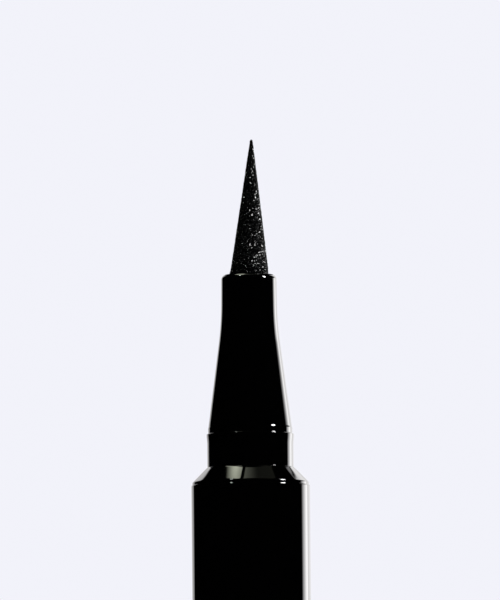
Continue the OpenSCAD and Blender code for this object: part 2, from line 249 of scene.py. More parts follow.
# Gloss of the mouldings: dead black and mirror-smooth, with the faint unevenness of a moulded wall, a
# few specks of dust and hairlines along the pen where the cap slides over it.
SPECK_SCALE = 1100
SPECK_SIZE = 0.05
SPECK_CHOICE = 0.9
SPECK_ROUGHNESS = 0.9
HAIRLINE_SCALE = 14000
HAIRLINE_SQUASH = 0.02
HAIRLINE_EDGE = (0.66, 0.74)
HAIRLINE_ROUGHNESS = 0.12
HAIRLINE_DEPTH = 0.15
PATCH_SCALE = 160
PATCH_EDGE = (0.45, 0.7)
PATCH_ROUGHNESS = 0.02
WAVE_SCALE = 90

gloss, given, result = new_surface(
    "handled_gloss",
    {
        "Plastic": (0.0004, 0.0004, 0.0005, 1),
        "Dust Colour": (0.25, 0.25, 0.26, 1),
        "Dust": 0.35,
        "Hairlines": 0.5,
        "Base Roughness": 0.025,
    },
)
tree = gloss
place = place_in(tree)
specks = node_in(tree, "ShaderNodeTexVoronoi", {"Vector": place, "Scale": SPECK_SCALE})
speck_pick = node_in(tree, "ShaderNodeSeparateColor", {"Color": specks.outputs["Color"]})
speck_size = calc(tree, "MULTIPLY", speck_pick.outputs["Green"], SPECK_SIZE)
speck_shape = calc(tree, "LESS_THAN", specks.outputs["Distance"], speck_size)
speck_rare = calc(tree, "GREATER_THAN", speck_pick.outputs["Red"], SPECK_CHOICE)
speck = product(tree, speck_shape, speck_rare, given["Dust"])
along = node_in(tree, "ShaderNodeMapping", {"Vector": place, "Scale": (1, 1, HAIRLINE_SQUASH)}).outputs[0]
streaks = node_in(tree, "ShaderNodeTexNoise", {"Vector": along, "Scale": HAIRLINE_SCALE, "Detail": 2})
lines = window(tree, streaks.outputs["Fac"], *HAIRLINE_EDGE)
patches = node_in(tree, "ShaderNodeTexNoise", {"Vector": place, "Scale": PATCH_SCALE, "Detail": 3})
worn = window(tree, patches.outputs["Fac"], *PATCH_EDGE)
scratch = product(tree, lines, worn, given["Hairlines"])
waves = node_in(tree, "ShaderNodeTexNoise", {"Vector": place, "Scale": WAVE_SCALE, "Detail": 1})
film = calc(tree, "MULTIPLY_ADD", patches.outputs["Fac"], PATCH_ROUGHNESS, given["Base Roughness"])
rough = calc(tree, "MULTIPLY_ADD", scratch, HAIRLINE_ROUGHNESS, film)
rough = calc(tree, "MAXIMUM", rough, calc(tree, "MULTIPLY", speck, SPECK_ROUGHNESS))
relief = calc(tree, "SUBTRACT", waves.outputs["Fac"], calc(tree, "MULTIPLY", scratch, HAIRLINE_DEPTH))
tree.links.new(blend_of(tree, speck, given["Plastic"], given["Dust Colour"]), result["Colour"])
tree.links.new(rough, result["Roughness"])
tree.links.new(relief, result["Height"])

# Barrel: a straight tube that is also the ink tank, moulded in gloss black. The edge of both ends is
# eased by a narrow round. Its front bore is wider and takes collector, stopper and front section's tail.
MOUTH_WALL = 0.9
TANK_STEP = 0.25
EDGE_R = 0.2
EDGE_SPAN = 40
PARTING_DROP = 0.18

barrel_r, barrel_z, section_z = span("barrel")
spigot_r, stopper_z, _ = span("tank_stopper")
mouth_r = barrel_r - MOUTH_WALL
tank_r = mouth_r - TANK_STEP
front_end_z = section_z - PARTING_DROP
rear_end_z = barrel_z + PARTING_DROP
edge_h = EDGE_R * math.sin(math.radians(EDGE_SPAN))
barrel = turned(
    "barrel_tube",
    arc((barrel_r - EDGE_R, rear_end_z + edge_h), EDGE_R, -EDGE_SPAN, 0)
    + arc((barrel_r - EDGE_R, front_end_z - edge_h), EDGE_R, 0, EDGE_SPAN)
    + [(mouth_r, front_end_z), (mouth_r, stopper_z), (tank_r, stopper_z), (tank_r, rear_end_z)],
)
dress(barrel, finish_of("barrel_black", gloss, {"Hairlines": 0.3}, bump=MOULD_RELIEF, IOR=1.5))
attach(barrel, "pen")
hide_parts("barrel")

# Tail plug: one moulding in the same black, pushed into the barrel's end. Below the barrel it repeats
# the front's cap seat, turned over, and inside it has a groove for the seal and a dish for the ball.
SEAT_STEP = 1.43
SHOULDER_STEP = 0.085
SHOULDER_ANGLE = 44.6
SHOULDER_CROWN = 1.6
SHOULDER_EDGE_R = 0.2
SHOULDER_TOP = 1.42
STEP_W = 0.04
STEP_R = 0.04
SEAT_LEN = 2.38
BEAD_DROP = 0.05
BEAD_RISE = 0.05
BEAD_LEN = 0.6
BEAD_R = 0.07
BEAD_SPAN = 40
SWELL_LEN = 0.9
SWELL_STEPS = 10
CORNER_R = 0.04
FILLET_STEPS = 6
BEAD_STEPS = 8
CROWN_STEPS = 16
DISH_STEPS = 12
PRESS_GAP = 0.02
CHAMFER = 0.25
RING_T = 0.9
DISH_DEPTH = 0.6
DISH_RIM = 0.3
LEAD_IN = 0.35
HOLLOW_WALL = 1.2
HOLLOW_H = 1.2

seat_r = barrel_r - SEAT_STEP
bead_r = seat_r + BEAD_RISE
shoulder_r = barrel_r - SHOULDER_STEP
slope = math.radians(SHOULDER_ANGLE)
seat_total = SHOULDER_TOP + SEAT_LEN + BEAD_LEN


def seat_outline():
    """Cap seat from the shoulder's edge to the bead's top, with heights from the barrel's end."""
    steep = SHOULDER_ANGLE - SHOULDER_CROWN / 2
    flat = SHOULDER_ANGLE + SHOULDER_CROWN / 2
    vertex_h = SHOULDER_TOP - (shoulder_r - seat_r) / math.tan(slope)
    foot = vertex_h - SHOULDER_EDGE_R * math.tan(math.radians(steep / 2))
    edge = arc((shoulder_r - SHOULDER_EDGE_R, foot), SHOULDER_EDGE_R, 0, steep, FILLET_STEPS)
    step_r = seat_r + STEP_W
    width = edge[-1][0] - step_r - STEP_R * math.sin(math.radians(90 - flat))
    chord = width / math.cos(math.radians(90 - SHOULDER_ANGLE))
    crown_r = chord / 2 / math.sin(math.radians(SHOULDER_CROWN / 2))
    crown = arc(away(edge[-1], -crown_r, steep), crown_r, steep, flat, CROWN_STEPS)
    brow = arc(away(crown[-1], -STEP_R, flat), STEP_R, flat, 90, FILLET_STEPS)
    step_h = brow[-1][1]
    bead_h = seat_total - BEAD_DROP - BEAD_R * math.sin(math.radians(BEAD_SPAN))
    swell = []
    for i in range(SWELL_STEPS + 1):
        share = i / SWELL_STEPS
        rise = BEAD_RISE * (1 - math.cos(math.pi * share)) / 2
        swell.append((seat_r + rise, bead_h - SWELL_LEN * (1 - share)))
    return (
        [(shoulder_r, -PARTING_DROP)]
        + edge
        + crown[1:]
        + brow[1:]
        + arc((seat_r + CORNER_R, step_h + CORNER_R), CORNER_R, 270, 180, FILLET_STEPS)
        + swell
        + arc((bead_r - BEAD_R, bead_h), BEAD_R, 0, BEAD_SPAN, BEAD_STEPS)[1:]
    )


plug_r = tank_r - PRESS_GAP
_, tail_end_z, plug_top = span("tail_plug")
ring_z = (span("tail_seal")[1] + span("tail_seal")[2]) / 2
ring_half = RING_T / 2 + PRESS_GAP
dish_mouth_r = plug_r - CHAMFER - DISH_RIM
dish_r = (dish_mouth_r ** 2 + DISH_DEPTH ** 2) / (2 * DISH_DEPTH)
dish_angle = math.degrees(math.asin(dish_mouth_r / dish_r))
lead_r = seat_r - LEAD_IN
hollow_r = seat_r - HOLLOW_WALL
tail = turned(
    "tail_plug_moulding",
    [(0, tail_end_z + HOLLOW_H), (hollow_r, tail_end_z + HOLLOW_H), (hollow_r, tail_end_z)]
    + [(lead_r - CHAMFER, tail_end_z), (lead_r, tail_end_z + CHAMFER)]
    + [(r, barrel_z - h) for r, h in reversed(seat_outline())]
    + [(plug_r, rear_end_z), (plug_r, ring_z - ring_half), (plug_r - RING_T, ring_z - ring_half)]
    + [(plug_r - RING_T, ring_z + ring_half), (plug_r, ring_z + ring_half)]
    + [(plug_r, plug_top - CHAMFER), (plug_r - CHAMFER, plug_top)]
    + arc((0, plug_top - DISH_DEPTH + dish_r), dish_r, -90 + dish_angle, -90, DISH_STEPS),
)
dress(tail, finish_of("plug_black", gloss, {"Hairlines": 0.7}, bump=MOULD_RELIEF, IOR=1.5))
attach(tail, "pen")
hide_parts("tail_plug")

# Tail seal: a black rubber ring, moulded in one piece and stretched into the plug's groove, where it
# keeps the ink in the tank. Rubber is dull, with a faint bloom and fine pores.
SEAL_BLACK = (0.012, 0.012, 0.013, 1)
SEAL_BLOOM = (0.05, 0.05, 0.052, 1)
SEAL_ROUGHNESS = 0.55
BLOOM_EDGE = (0.45, 0.75)
BLOOM_ROUGHNESS = 0.2
PORE_DEPTH = 0.01

seal_rubber, tree, shader = new_material("seal_rubber")
place = place_in(tree)
bloom = node_in(tree, "ShaderNodeTexNoise", {"Vector": place, "Scale": 900, "Detail": 4})
pores = node_in(tree, "ShaderNodeTexVoronoi", {"Vector": place, "Scale": 9000})
dusted = window(tree, bloom.outputs["Fac"], *BLOOM_EDGE)
rough = calc(tree, "MULTIPLY_ADD", dusted, BLOOM_ROUGHNESS, SEAL_ROUGHNESS)
relief = node_in(tree, "ShaderNodeBump", {"Height": pores.outputs["Distance"], "Distance": PORE_DEPTH * MM})
tree.links.new(blend_of(tree, dusted, SEAL_BLACK, SEAL_BLOOM), shader.inputs["Base Color"])
tree.links.new(rough, shader.inputs["Roughness"])
tree.links.new(relief.outputs["Normal"], shader.inputs["Normal"])
dress(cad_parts["tail_seal"], seal_rubber)

# Worked steel of ball and spring: bright metal with fine marks of its working, and a thin film of ink
# left where the ink has run off.
POOL_EDGE = (0.5, 0.62)
MARK_ROUGHNESS = 0.1
FILM_ROUGHNESS = 0.1

steel, given, result = new_surface(
    "worked_steel",
    {
        "Steel": (0.62, 0.61, 0.6, 1),
        "Ink Film": (0.06, 0.06, 0.07, 1),
        "Film": 0.5,
        "Marks Scale": 6000.0,
        "Base Roughness": 0.12,
    },
)
tree = steel
place = place_in(tree)
marks = node_in(tree, "ShaderNodeTexNoise", {"Vector": place, "Scale": given["Marks Scale"], "Detail": 3})
pools = node_in(tree, "ShaderNodeTexNoise", {"Vector": place, "Scale": 700, "Detail": 4})
wetted = product(tree, window(tree, pools.outputs["Fac"], *POOL_EDGE), given["Film"])
tree.links.new(blend_of(tree, wetted, given["Steel"], given["Ink Film"]), result["Colour"])
rough = calc(tree, "MULTIPLY_ADD", marks.outputs["Fac"], MARK_ROUGHNESS, given["Base Roughness"])
tree.links.new(calc(tree, "MULTIPLY_ADD", wetted, FILM_ROUGHNESS, rough), result["Roughness"])
tree.links.new(marks.outputs["Fac"], result["Height"])

# Mixing ball: a steel ball, ground and polished. It lies loose in the tank and stirs the ink when the
# pen is shaken.
dress(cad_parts["mixing_ball"], finish_of("ball_steel", steel, {"Film": 0.8}, bump=0.2e-6, Metallic=1.0))

# Inked moulding: pale plastic with a fine texture of its tool, clouded a little in its depth, and stained
# by the ink that runs along it.
RUN_STRETCH = 0.35
STAIN_EDGE = (-0.03, 0.05)
STAIN_LEVEL = 0.78
STAIN_GAIN = -0.35
TOOL_ROUGHNESS = 0.12
INK_SMOOTHING = -0.12

inked, given, result = new_surface(
    "inked_moulding",
    {
        "Plastic": (0.7, 0.71, 0.7, 1),
        "Clouding": (0.6, 0.62, 0.62, 1),
        "Ink": (0.01, 0.01, 0.014, 1),
        "Stain": 0.5,
        "Texture Scale": 9000.0,
        "Base Roughness": 0.35,
    },
)
tree = inked
place = place_in(tree)
depth = node_in(tree, "ShaderNodeTexNoise", {"Vector": place, "Scale": 250, "Detail": 3})
tool = node_in(tree, "ShaderNodeTexNoise", {"Vector": place, "Scale": given["Texture Scale"], "Detail": 2})
runs = node_in(tree, "ShaderNodeMapping", {"Vector": place, "Scale": (1, 1, RUN_STRETCH)}).outputs[0]
stains = node_in(tree, "ShaderNodeTexNoise", {"Vector": runs, "Scale": 620, "Detail": 5, "Roughness": 0.6})
level = calc(tree, "MULTIPLY_ADD", given["Stain"], STAIN_GAIN, STAIN_LEVEL)
spread = window(tree, calc(tree, "SUBTRACT", stains.outputs["Fac"], level), *STAIN_EDGE)
body = blend_of(tree, depth.outputs["Fac"], given["Plastic"], given["Clouding"])
tree.links.new(blend_of(tree, spread, body, given["Ink"]), result["Colour"])
rough = calc(tree, "MULTIPLY_ADD", tool.outputs["Fac"], TOOL_ROUGHNESS, given["Base Roughness"])
tree.links.new(calc(tree, "MULTIPLY_ADD", spread, INK_SMOOTHING, rough), result["Roughness"])
tree.links.new(tool.outputs["Fac"], result["Height"])

# Tank stopper: a disc with a collar, moulded in white polypropylene. It is pressed into the barrel
# between the tank and the collector.
dress(
    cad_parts["tank_stopper"],
    finish_of(
        "stopper_white",
        inked,
        {"Plastic": (0.78, 0.79, 0.78, 1), "Stain": 0.6},
        bump=0.6e-6,
        IOR=1.49,
    ),
)

# Collector: a comb of thin fins in clear plastic. Its pockets hold the ink that warmth drives out of the
# tank, which darkens them.
dress(
    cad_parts["collector"],
    finish_of(
        "collector_clear",
        inked,
        {
            "Plastic": (0.62, 0.66, 0.68, 1),
            "Clouding": (0.45, 0.5, 0.53, 1),
            "Stain": 0.95,
            "Base Roughness": 0.22,
        },
        bump=0.4e-6,
        IOR=1.57,
    ),
)

# Feed rod: a bundle of straight polyester fibres, glued with a little resin and cut to length. It is
# pushed through the collector into the nib's back, and carries ink to the nib.
FIBRE_DARK = (0.004, 0.004, 0.005, 1)
FIBRE_PALE = (0.07, 0.07, 0.078, 1)
FIBRE_SCALE = 16000
FIBRE_SQUASH = 0.03
FIBRE_ROUGHNESS = 0.35
FIBRE_SPREAD = 0.25
FIBRE_DEPTH = 0.02
SOAK_EDGE = (0.4, 0.8)

rod_fibre, tree, shader = new_material("rod_fibre")
place = place_in(tree)
lengthways = node_in(tree, "ShaderNodeMapping", {"Vector": place, "Scale": (1, 1, FIBRE_SQUASH)}).outputs[0]
fibres = node_in(tree, "ShaderNodeTexVoronoi", {"Vector": lengthways, "Scale": FIBRE_SCALE})
fibre_pick = node_in(tree, "ShaderNodeSeparateColor", {"Color": fibres.outputs["Color"]})
soak = node_in(tree, "ShaderNodeTexNoise", {"Vector": place, "Scale": 300, "Detail": 3})
pale = product(tree, fibre_pick.outputs["Red"], window(tree, soak.outputs["Fac"], *SOAK_EDGE))
rough = calc(tree, "MULTIPLY_ADD", fibre_pick.outputs["Green"], FIBRE_SPREAD, FIBRE_ROUGHNESS)
relief = node_in(tree, "ShaderNodeBump", {"Height": fibres.outputs["Distance"], "Distance": FIBRE_DEPTH * MM})
tree.links.new(blend_of(tree, pale, FIBRE_DARK, FIBRE_PALE), shader.inputs["Base Color"])
tree.links.new(rough, shader.inputs["Roughness"])
tree.links.new(relief.outputs["Normal"], shader.inputs["Normal"])
dress(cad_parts["feed_rod"], rod_fibre)

# Front section: one moulding with shoulder, cap seat, snap bead, land, cone and neck. Its tail is
# pressed into the barrel, and six ribs in its bore hold the nib's shank.
LAND_STEP = 0.085
LAND_LEN = 0.52
LAND_R = 0.35
LAND_RISE = 0.06
BEAD_FILLET = 0.08
CONE_STEP = 0.035
CONE_LEN = 9.25
NECK_WALL = 0.775
NECK_LEN = 4.36
NECK_DRAFT = 0.08
BLEND_LEN = 3.5
RIM_R = 0.46
NIB_D = 3.35
SPIGOT_WALL = 0.8
SHANK_STEP = 0.175
TUBE_STEP = 0.45
RIB_DROP = 0.25
RIB_H = 0.3
RIB_W = 0.4
RIB_COUNT = 6
RIB_GAP = 0.02
RIB_BITE = 0.1
RIB_LIFT = 0.3
RIM_GAP = 0.04
HUB_SHARE = 0.6
BEND_STEPS = 24
RIM_STEPS = 14

_, spigot_z, rim_z = span("front_section")
_, shank_z, nib_top = span("nib")
land_z = section_z + seat_total
cone_z = land_z + LAND_LEN
neck_z = cone_z + CONE_LEN
land_r = seat_r - LAND_STEP
cone_r = land_r - CONE_STEP
nib_r = NIB_D / 2
neck_r = nib_r + NECK_WALL
neck_foot_r = neck_r + NECK_DRAFT / 2
shank_r = nib_r - SHANK_STEP
nib_hole_r = shank_r + RIB_H
rib_face_r = shank_r + RIB_GAP
tube_hole_r = nib_hole_r + TUBE_STEP + PRESS_GAP
hub_z = section_z + HUB_SHARE * SHOULDER_TOP
cone_angle = math.degrees(math.atan((cone_r - neck_foot_r) / CONE_LEN))
neck_angle = math.degrees(math.atan((neck_foot_r - neck_r) / NECK_LEN))
bend_r = BLEND_LEN / 2 / math.tan(math.radians((cone_angle - neck_angle) / 2))
bend_start = (
    neck_foot_r + BLEND_LEN / 2 * math.sin(math.radians(cone_angle)),
    neck_z - BLEND_LEN / 2 * math.cos(math.radians(cone_angle)),
)
bend_centre = away(bend_start, bend_r, cone_angle)
land_turn = math.degrees(math.acos(1 - CONE_STEP / LAND_R))
round_z = cone_z + LAND_RISE - LAND_R * math.sin(math.radians(land_turn))
section = turned(
    "section_moulding",
    [(spigot_r - SPIGOT_WALL, spigot_z), (spigot_r - CHAMFER, spigot_z), (spigot_r, spigot_z + CHAMFER)]
    + [(spigot_r, front_end_z)]
    + [(r, section_z + h) for r, h in seat_outline()]
    + arc((land_r + BEAD_FILLET, land_z - BEAD_DROP + BEAD_FILLET), BEAD_FILLET, 270, 180, FILLET_STEPS)
    + arc((land_r - LAND_R, round_z), LAND_R, 0, land_turn, FILLET_STEPS)
    + arc(bend_centre, bend_r, 180 + cone_angle, 180 + neck_angle, BEND_STEPS)
    + arc((neck_r - RIM_R, rim_z - RIM_R), RIM_R, 0, 90, RIM_STEPS)
    + [(nib_r + RIM_GAP, rim_z), (nib_r + RIM_GAP, rim_z - RIB_DROP), (nib_hole_r, rim_z - RIB_DROP)]
    + [(nib_hole_r, shank_z), (tube_hole_r, shank_z), (tube_hole_r, hub_z)]
    + [(spigot_r - SPIGOT_WALL, hub_z)],
)


def new_form(name, inputs, finish):
    """A geometry tree that takes a piece, named sizes and a material, and its input sockets."""
    form = bpy.data.node_groups.new(name, "GeometryNodeTree")
    form.interface.new_socket("Geometry", in_out="INPUT", socket_type="NodeSocketGeometry")
    for label in inputs:
        form.interface.new_socket(label, in_out="INPUT", socket_type="NodeSocketFloat")
    form.interface.new_socket(finish, in_out="INPUT", socket_type="NodeSocketMaterial")
    form.interface.new_socket("Geometry", in_out="OUTPUT", socket_type="NodeSocketGeometry")
    return form, node_in(form, "NodeGroupInput").outputs


def close_form(form, geometry, material):
    """Ends a geometry tree, with its copies made real and one material on all of it."""
    real = node_in(form, "GeometryNodeRealizeInstances", {"Geometry": geometry})
    coated = node_in(form, "GeometryNodeSetMaterial", {"Geometry": real.outputs[0], "Material": material})
    node_in(form, "NodeGroupOutput", {"Geometry": coated.outputs[0]})


rib_inputs = {
    "Width": RIB_W * MM,
    "Depth": (nib_hole_r + RIB_BITE - rib_face_r) * MM,
    "Height": (rim_z - RIB_DROP - shank_z - RIB_LIFT) * MM,
    "Middle": (nib_hole_r + RIB_BITE + rib_face_r) / 2 * MM,
    "Foot": (shank_z + RIB_LIFT) * MM,
    "Count": float(RIB_COUNT),
}
ribs, given = new_form("bore_ribs", rib_inputs, "Plastic")
bar_size = {"X": given["Depth"], "Y": given["Width"], "Z": given["Height"]}
sides = node_in(ribs, "ShaderNodeCombineXYZ", bar_size)
bar = node_in(ribs, "GeometryNodeMeshCube", {"Size": sides.outputs[0]})
lift = calc(ribs, "MULTIPLY_ADD", given["Height"], 0.5, given["Foot"])
off = node_in(ribs, "ShaderNodeCombineXYZ", {"X": given["Middle"], "Z": lift})
rib = node_in(ribs, "GeometryNodeTransform", {"Geometry": bar.outputs["Mesh"], "Translation": off.outputs[0]})
ring = node_in(ribs, "GeometryNodePoints", {"Count": RIB_COUNT})
step = calc(ribs, "DIVIDE", math.tau, given["Count"])
turn_by = calc(ribs, "MULTIPLY", node_in(ribs, "GeometryNodeInputIndex").outputs[0], step)
turned_to = node_in(ribs, "ShaderNodeCombineXYZ", {"Z": turn_by})
placed = node_in(
    ribs,
    "GeometryNodeInstanceOnPoints",
    {"Points": ring.outputs[0], "Instance": rib.outputs[0], "Rotation": turned_to.outputs[0]},
)
joined = node_in(ribs, "GeometryNodeJoinGeometry")
ribs.links.new(placed.outputs["Instances"], joined.inputs["Geometry"])
ribs.links.new(given["Geometry"], joined.inputs["Geometry"])
close_form(ribs, joined.outputs[0], given["Plastic"])


def grown(piece, tree, values):
    """Runs a geometry tree on a piece and keeps the result as the piece's plain mesh."""
    modifier = piece.modifiers.new("form", "NODES")
    modifier.node_group = tree
    for item in tree.interface.items_tree:
        if item.in_out == "INPUT" and item.name in values:
            modifier[item.identifier] = values[item.name]
    evaluated = piece.evaluated_get(bpy.context.evaluated_depsgraph_get())
    result = bpy.data.meshes.new_from_object(evaluated)
    for i in reversed(range(len(result.materials))):
        if result.materials[i] is None:
            result.materials.pop(index=i)
    piece.modifiers.remove(modifier)
    piece.data = result


section_black = finish_of("section_black", gloss, {"Hairlines": 0.5}, bump=0.6e-6, IOR=1.5)
dress(section, section_black)
grown(section, ribs, {**rib_inputs, "Plastic": section_black})
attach(section, "pen")
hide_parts("front_section")

# Nib: a felt of fused grains, soaked with black ink, ground to a cone with a rounded point. Its collar
# sits on the ribs and its shank hangs in the bore, with a hole for the feed rod. It leans a little.
NIB_TIP_R = 0.09
SOCKET_LEN = 5
ROD_R = 0.98
GRAIN_SINK = 0.05
NIB_FULLNESS = 0.06
GRAIN_R = 0.075
GRAIN_FLAT = 0.6
GRAIN_SPREAD = 0.3
GRAIN_TILT = 0.45
GRAIN_GAP = 0.088
NIB_OFF = 0.05
NIB_LEAN = 0.27
OFF_SHARE = 0.05
NIB_STEPS = 96
CONE_STEPS = 40
TIP_STEPS = 8
GRAINS_PER_GAP = 4.0
GRAIN_SEED = 7
SIZE_SEED = 3
INK_DARK = (0.0002, 0.0002, 0.0003, 1)
INK_PALE = (0.001, 0.001, 0.0012, 1)
CRUMB_SCALE = 14000
CRUMB_DEPTH = 0.005
CRUMB_ROUGHNESS = 0.08
WET_ROUGHNESS = 0.06
INK_ROUGHNESS = 0.09
FACING_EDGE = (0.8, 0.25)
FACING_GLOSS = 0.5

nib_slope = math.degrees(math.atan((nib_r - NIB_TIP_R) / (nib_top - rim_z - NIB_TIP_R)))
socket_r = ROD_R + PRESS_GAP
core_r = nib_r - GRAIN_SINK + NIB_FULLNESS
core_top = nib_top - GRAIN_SINK
cone = []
for i in range(CONE_STEPS + 1):
    share = i / CONE_STEPS
    cone.append((core_r + share * (NIB_TIP_R - core_r), rim_z + share * (core_top - NIB_TIP_R - rim_z)))
nib = turned(
    "nib_felt",
    [(socket_r, shank_z), (shank_r - CHAMFER, shank_z), (shank_r, shank_z + CHAMFER)]
    + [(shank_r, rim_z - RIB_DROP), (nib_r, rim_z - RIB_DROP), (nib_r, rim_z)]
    + cone[:-1]
    + arc((0, core_top - NIB_TIP_R), NIB_TIP_R, nib_slope, 90, TIP_STEPS)
    + [(0, shank_z + SOCKET_LEN), (socket_r, shank_z + SOCKET_LEN)],
    steps=NIB_STEPS,
)

felt_inputs = {
    "Foot": rim_z * MM,
    "Gap": GRAIN_GAP * MM,
    "Grain Radius": GRAIN_R * MM,
    "Flatness": GRAIN_FLAT,
    "Spread": GRAIN_SPREAD,
    "Tilt": GRAIN_TILT,
}
felt, given = new_form("felt_grains", felt_inputs, "Felt")
position = node_in(felt, "GeometryNodeInputPosition").outputs[0]
height = node_in(felt, "ShaderNodeSeparateXYZ", {0: position}).outputs[2]
shown = calc(felt, "GREATER_THAN", height, given["Foot"])
scatter = node_in(felt, "GeometryNodeDistributePointsOnFaces", distribute_method="POISSON")
felt.links.new(given["Geometry"], scatter.inputs["Mesh"])
felt.links.new(shown, scatter.inputs["Selection"])
felt.links.new(given["Gap"], scatter.inputs["Distance Min"])
density = calc(felt, "DIVIDE", GRAINS_PER_GAP, product(felt, given["Gap"], given["Gap"]))
felt.links.new(density, scatter.inputs["Density Max"])
scatter.inputs["Seed"].default_value = GRAIN_SEED
ball = node_in(felt, "GeometryNodeMeshIcoSphere", {"Radius": given["Grain Radius"], "Subdivisions": 1})
flatness = node_in(felt, "ShaderNodeCombineXYZ", {"X": 1.0, "Y": 1.0, "Z": given["Flatness"]})
grain_form = {"Geometry": ball.outputs["Mesh"], "Scale": flatness.outputs[0]}
grain = node_in(felt, "GeometryNodeTransform", grain_form)
most = node_in(felt, "ShaderNodeCombineXYZ", {"X": given["Tilt"], "Y": given["Tilt"], "Z": math.pi})
least = node_in(felt, "ShaderNodeVectorMath", {0: most.outputs[0], "Scale": -1.0}, operation="SCALE")
spin = node_in(felt, "FunctionNodeRandomValue", data_type="FLOAT_VECTOR")
felt.links.new(least.outputs[0], spin.inputs[0])
felt.links.new(most.outputs[0], spin.inputs[1])
spun = node_in(
    felt,
    "FunctionNodeRotateRotation",
    {0: scatter.outputs["Rotation"], 1: spin.outputs[0]},
    rotation_space="LOCAL",
)
sizes = node_in(felt, "FunctionNodeRandomValue", {"Seed": SIZE_SEED}, data_type="FLOAT")
felt.links.new(calc(felt, "SUBTRACT", 1.0, given["Spread"]), sizes.inputs[2])
felt.links.new(calc(felt, "ADD", 1.0, given["Spread"]), sizes.inputs[3])
placed = node_in(felt, "GeometryNodeInstanceOnPoints")
felt.links.new(scatter.outputs["Points"], placed.inputs["Points"])
felt.links.new(grain.outputs[0], placed.inputs["Instance"])
felt.links.new(spun.outputs[0], placed.inputs["Rotation"])
felt.links.new(sizes.outputs[1], placed.inputs["Scale"])
joined = node_in(felt, "GeometryNodeJoinGeometry")
felt.links.new(placed.outputs["Instances"], joined.inputs["Geometry"])
felt.links.new(given["Geometry"], joined.inputs["Geometry"])
close_form(felt, joined.outputs[0], given["Felt"])

felt_black, tree, shader = new_material("nib_porous")
place = place_in(tree)
crumbs = node_in(tree, "ShaderNodeTexVoronoi", {"Vector": place, "Scale": CRUMB_SCALE})
crumb_pick = node_in(tree, "ShaderNodeSeparateColor", {"Color": crumbs.outputs["Color"]})
wet = node_in(tree, "ShaderNodeTexNoise", {"Vector": place, "Scale": 900, "Detail": 2})
ink = blend_of(tree, crumb_pick.outputs["Red"], INK_DARK, INK_PALE)
dry = calc(tree, "MULTIPLY_ADD", wet.outputs["Fac"], WET_ROUGHNESS, INK_ROUGHNESS)
rough = calc(tree, "MULTIPLY_ADD", crumb_pick.outputs["Green"], CRUMB_ROUGHNESS, dry)
crumb_bump = {"Height": crumbs.outputs["Distance"], "Distance": CRUMB_DEPTH * MM, "Strength": 0.5}
bumps = node_in(tree, "ShaderNodeBump", crumb_bump).outputs["Normal"]
facing = node_in(tree, "ShaderNodeLayerWeight", {"Blend": 0.5, "Normal": bumps}).outputs["Facing"]
gloss_level = product(tree, window(tree, facing, *FACING_EDGE), FACING_GLOSS)
tree.links.new(ink, shader.inputs["Base Color"])
tree.links.new(rough, shader.inputs["Roughness"])
tree.links.new(bumps, shader.inputs["Normal"])
tree.links.new(gloss_level, shader.inputs["Specular IOR Level"])
shader.inputs["IOR"].default_value = 1.44

dress(nib, felt_black)
grown(nib, felt, {**felt_inputs, "Felt": felt_black})
for point in nib.data.vertices:
    share = max(0, (point.co.z / MM - rim_z) / (nib_top - rim_z))
    point.co.x += (NIB_OFF * min(1, share / OFF_SHARE) + NIB_LEAN * share) * MM
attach(nib, "pen")
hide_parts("nib")

# Cap: one moulding in the barrel's black and of the barrel's diameter, with a small round on its closed
# end. Its bore takes the cap seat, snaps over the bead with a shallow groove and holds the inner cap.
END_R = 0.8
END_WALL = 1.5
CAP_GAP = 0.09
SLIDE_GAP = 0.08
SNAP_DEPTH = 0.06
SEAM_GAP = 0.25
MOUTH_RIM = 0.19
CATCH_RISE = 0.2
CATCH_LEN = 0.6
CATCH_GAP = 0.05
POST_GAP = 0.15
POST_H = 1.2
SPRING_D = 5.2
WIRE_D = 0.45
END_STEPS = 14
SNAP_STEPS = 10

_, cap_foot_z, cap_top_z = span("cap_shell")
cup_r, cup_foot_z, lip_z = span("inner_cap")
guide_r = cup_r + SLIDE_GAP
bore_r = seat_r + CAP_GAP
catch_z = lip_z + CATCH_GAP + CATCH_RISE
guide_z = catch_z + CATCH_LEN
snap_z = cap_top_z + SEAM_GAP - seat_total + BEAD_LEN / 2
snap_len = BEAD_LEN + 2 * SLIDE_GAP
mouth_cone_r = barrel_r - MOUTH_RIM
mouth_cone_h = (mouth_cone_r - bore_r) / math.tan(slope)
post_r = SPRING_D / 2 - WIRE_D - POST_GAP
snap_groove = []
for i in range(SNAP_STEPS + 1):
    share = i / SNAP_STEPS
    snap_groove.append((bore_r + SNAP_DEPTH * math.sin(math.pi * share), snap_z + snap_len * (share - 0.5)))
cap = turned(
    "cap_moulding",
    [(0, cap_foot_z)]
    + arc((barrel_r - END_R, cap_foot_z + END_R), END_R, -90, 0, END_STEPS)
    + arc((barrel_r - EDGE_R, cap_top_z - edge_h), EDGE_R, 0, EDGE_SPAN)
    + [(mouth_cone_r, cap_top_z), (bore_r, cap_top_z - mouth_cone_h)]
    + list(reversed(snap_groove))
    + [(bore_r, guide_z), (guide_r, guide_z), (guide_r - CATCH_RISE, guide_z - CATCH_RISE)]
    + [(guide_r - CATCH_RISE, catch_z), (guide_r, catch_z - CATCH_RISE)]
    + [(guide_r, END_WALL), (post_r, END_WALL), (post_r, END_WALL + POST_H), (0, END_WALL + POST_H)],
)
dress(cap, finish_of("cap_black", gloss, {"Hairlines": 0.8, "Dust": 0.4}, bump=MOULD_RELIEF, IOR=1.5))
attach(cap, "cap")
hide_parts("cap_shell")

